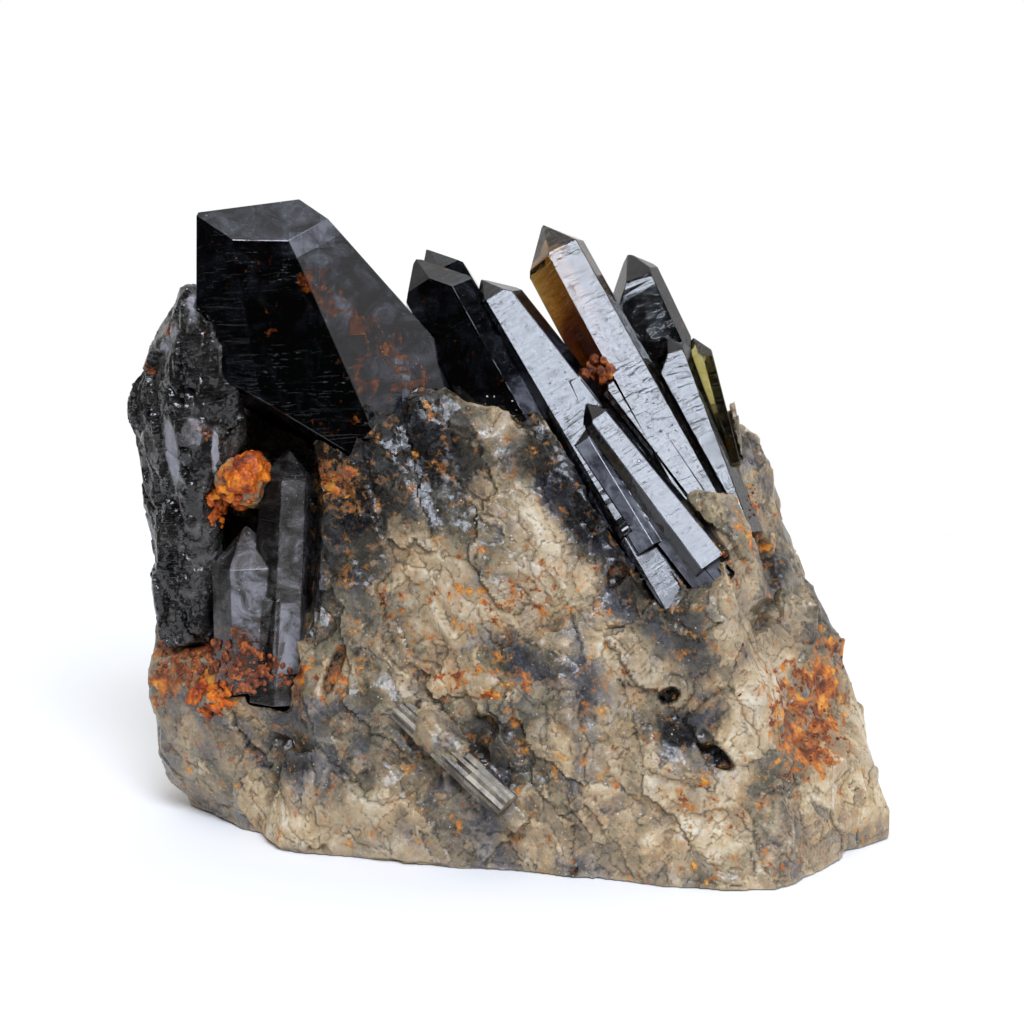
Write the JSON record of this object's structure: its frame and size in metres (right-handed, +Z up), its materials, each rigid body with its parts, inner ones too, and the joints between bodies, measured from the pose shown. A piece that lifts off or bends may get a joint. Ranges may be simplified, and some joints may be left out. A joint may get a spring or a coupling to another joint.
{
  "type": "smoky quartz crystal cluster",
  "caption": "Dark smoky quartz crystals leaning from broken, rust-stained quartz matrix; a mineral specimen that stands on its broken base.",
  "frame": {"origin": "middle of the bounding box on the plane that the cluster stands on", "axes": "+Z up, +X to the right along the length, +Y away from the side with the pocket of small crystals"},
  "size_m": [0.1157, 0.0594, 0.0969],
  "materials": {
    "smoky_quartz": "glossy see-through smoky brown quartz, near black where thick, with growth striations and bruised edges",
    "pale_quartz": "glossy see-through quartz, pale olive yellow",
    "etched_quartz": "etched and frosted dark smoky quartz, blocky and bright on small faces",
    "matrix_rock": "broken quartz in cream, tan, grey and smoky patches, with rust-brown and orange iron stains"
  },
  "bodies": {
    "root": {"large_crystal": "smoky_quartz", "dark_twin_crystals": "smoky_quartz", "long_crystals": "smoky_quartz", "tall_crystals": "smoky_quartz", "rear_crystals": "smoky_quartz", "pale_crystal": "pale_quartz", "pocket_crystals": "smoky_quartz", "left_crystal": "etched_quartz", "matrix": "matrix_rock"}
  },
  "joints": []
}
